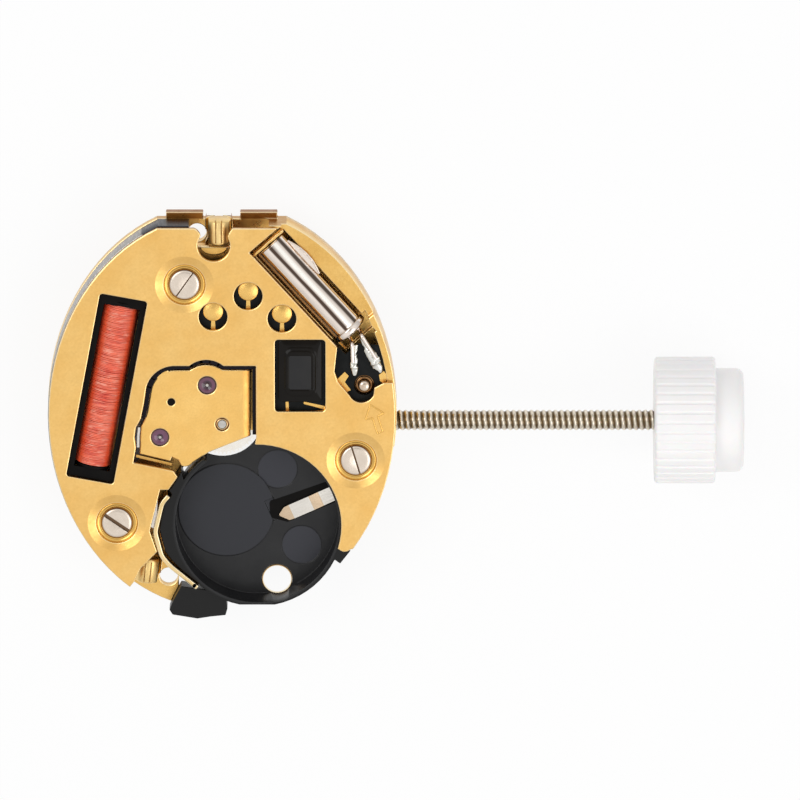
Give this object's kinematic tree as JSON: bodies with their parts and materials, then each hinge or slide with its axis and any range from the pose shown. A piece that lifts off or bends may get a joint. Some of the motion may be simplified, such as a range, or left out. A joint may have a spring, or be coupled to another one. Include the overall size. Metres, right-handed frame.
{
  "type": "quartz watch movement",
  "caption": "Oval quartz watch movement with gilt plates, stepping-motor coil, gear train, open battery bay and a long threaded winding stem with a plastic crown.",
  "frame": {"origin": "the hands' axis on the face that the dial rests against", "axes": "+X along the winding stem, +Y towards twelve o'clock as seen from the battery side, +Z away from the dial"},
  "size_m": [0.0302, 0.0182, 0.0054],
  "materials": {
    "gilt_plate": "satin gilt",
    "gilt_cover": "satin gilt",
    "gilt_bridge": "satin gilt",
    "screw_steel": "turned",
    "ruby": "polished",
    "bright_brass": "turned",
    "magnet": "ground",
    "pinion_steel": "polished",
    "wheel_gilt": "fine turned",
    "wheel_pale": "fine turned",
    "sheet_steel": "rolled",
    "soft_iron": "annealed",
    "coil_wire": "enamelled wire",
    "black_plastic": "moulded",
    "grey_spacer": "rolled",
    "board": "lacquered",
    "gilt_pad": "plated",
    "epoxy": "potting",
    "can_metal": "drawn",
    "solder": "flowed",
    "insulator": "moulded",
    "contact_gilt": "plated",
    "contact_silver": "rolled",
    "stem_steel": "threaded",
    "white_plastic": "moulded",
    "button_steel": "polished",
    "lock_brass": "turned"
  },
  "bodies": {
    "movement": {"main_plate": "gilt_plate", "cover_plate": "gilt_cover", "cover_screws": "screw_steel", "train_bridge": "gilt_bridge", "third_wheel_jewel": "ruby", "rotor_jewel": "ruby", "centre_bush": "bright_brass", "motion_cover": "sheet_steel", "motion_cover_screws": "screw_steel", "stator": "soft_iron", "coil_core": "soft_iron", "coil_body": "coil_wire", "coil_winding": "coil_wire", "coil_flanges": "black_plastic", "coil_terminal": "black_plastic", "module_spacer": "grey_spacer", "circuit_board": "board", "contact_pads": "gilt_pad", "circuit_chip": "epoxy", "quartz_can": "can_metal", "quartz_base": "can_metal", "quartz_leads": "can_metal", "solder_joints": "solder", "battery_insulator": "insulator", "positive_contact": "contact_gilt", "negative_contact": "contact_silver", "lever_collar": "bright_brass"},
    "centre_group": {"centre_wheel": "wheel_pale", "centre_arbor": "pinion_steel", "cannon_pinion": "pinion_steel"},
    "third_group": {"third_wheel": "wheel_gilt", "third_pinion": "pinion_steel"},
    "intermediate_group": {"intermediate_wheel": "wheel_gilt", "intermediate_pinion": "pinion_steel"},
    "rotor_group": {"rotor_magnet": "magnet", "rotor_pinion": "pinion_steel"},
    "minute_group": {"minute_wheel": "wheel_gilt", "minute_pinion": "pinion_steel"},
    "hour_group": {"hour_wheel": "wheel_gilt"},
    "setting_wheel_group": {"setting_wheel": "pinion_steel"},
    "yoke_group": {"yoke": "sheet_steel"},
    "clutch_group": {"sliding_pinion": "pinion_steel"},
    "stem_group": {"stem": "stem_steel", "crown": "white_plastic"},
    "lever_group": {"setting_lever": "sheet_steel"},
    "release_button": {"setting_lever_post": "button_steel"},
    "lock_top_group": {"dial_foot_lock_top": "lock_brass"},
    "lock_low_group": {"dial_foot_lock_low": "lock_brass"}
  },
  "joints": [
    {"name": "centre_turn", "type": "hinge", "parent": "movement", "child": "centre_group", "pos_m": [0, 0, 0.0005], "axis": [0, 0, 1], "continuous": true},
    {"name": "third_turn", "type": "hinge", "parent": "movement", "child": "third_group", "pos_m": [-0.00064, 0.00176, 0.0005], "axis": [0, 0, 1], "continuous": true},
    {"name": "intermediate_turn", "type": "hinge", "parent": "movement", "child": "intermediate_group", "pos_m": [-0.0022, 0.00101, 0.0005], "axis": [0, 0, 1], "continuous": true},
    {"name": "rotor_turn", "type": "hinge", "parent": "movement", "child": "rotor_group", "pos_m": [-0.0027, -0.00059, 0.0005], "axis": [0, 0, 1], "continuous": true},
    {"name": "minute_wheel_turn", "type": "hinge", "parent": "movement", "child": "minute_group", "pos_m": [0.00116, 0.00138, 0.0005], "axis": [0, 0, 1], "continuous": true},
    {"name": "hour_turn", "type": "hinge", "parent": "movement", "child": "hour_group", "pos_m": [0, 0, 0.0005], "axis": [0, 0, 1], "continuous": true},
    {"name": "setting_wheel_turn", "type": "hinge", "parent": "movement", "child": "setting_wheel_group", "pos_m": [0.00292, 0.00055, 0.0005], "axis": [0, 0, 1], "continuous": true},
    {"name": "yoke_shift", "type": "slide", "parent": "movement", "child": "yoke_group", "axis": [-1, 0, 0], "range_m": [0, 0.0003]},
    {"name": "crown_turn", "type": "hinge", "parent": "yoke_group", "child": "clutch_group", "pos_m": [0.004, 0, 0.0008], "axis": [1, 0, 0], "continuous": true},
    {"name": "stem_pull", "type": "slide", "parent": "clutch_group", "child": "stem_group", "axis": [1, 0, 0], "range_m": [0, 0.0008]},
    {"name": "setting_lever_turn", "type": "hinge", "parent": "release_button", "child": "lever_group", "pos_m": [0.00617, 0.00181, 0.0008], "axis": [0, 0, 1], "range_deg": [0, 21]},
    {"name": "release_press", "type": "slide", "parent": "movement", "child": "release_button", "axis": [0, 0, -1], "range_m": [0, 0.00018], "stiffness_N_per_m": 400},
    {"name": "lock_top_turn", "type": "hinge", "parent": "movement", "child": "lock_top_group", "pos_m": [-0.00012, 0.008, 0.00106], "axis": [0, 1, 0], "range_deg": [0, 90]},
    {"name": "lock_low_turn", "type": "hinge", "parent": "movement", "child": "lock_low_group", "pos_m": [-0.0032, -0.00605, 0.00106], "axis": [-0.1045, -0.9945, 0], "range_deg": [0, 90]}
  ],
  "couplings": [
    {"joint": "third_turn", "follows": "centre_turn", "ratio": -7.5},
    {"joint": "intermediate_turn", "follows": "centre_turn", "ratio": 15},
    {"joint": "rotor_turn", "follows": "centre_turn", "ratio": -90},
    {"joint": "minute_wheel_turn", "follows": "centre_turn", "ratio": -0.33333},
    {"joint": "hour_turn", "follows": "centre_turn", "ratio": 0.083333},
    {"joint": "setting_wheel_turn", "follows": "centre_turn", "ratio": 0.75},
    {"joint": "yoke_shift", "follows": "stem_pull", "ratio": 0.375},
    {"joint": "setting_lever_turn", "follows": "stem_pull", "rad_per_m": 447.24}
  ]
}
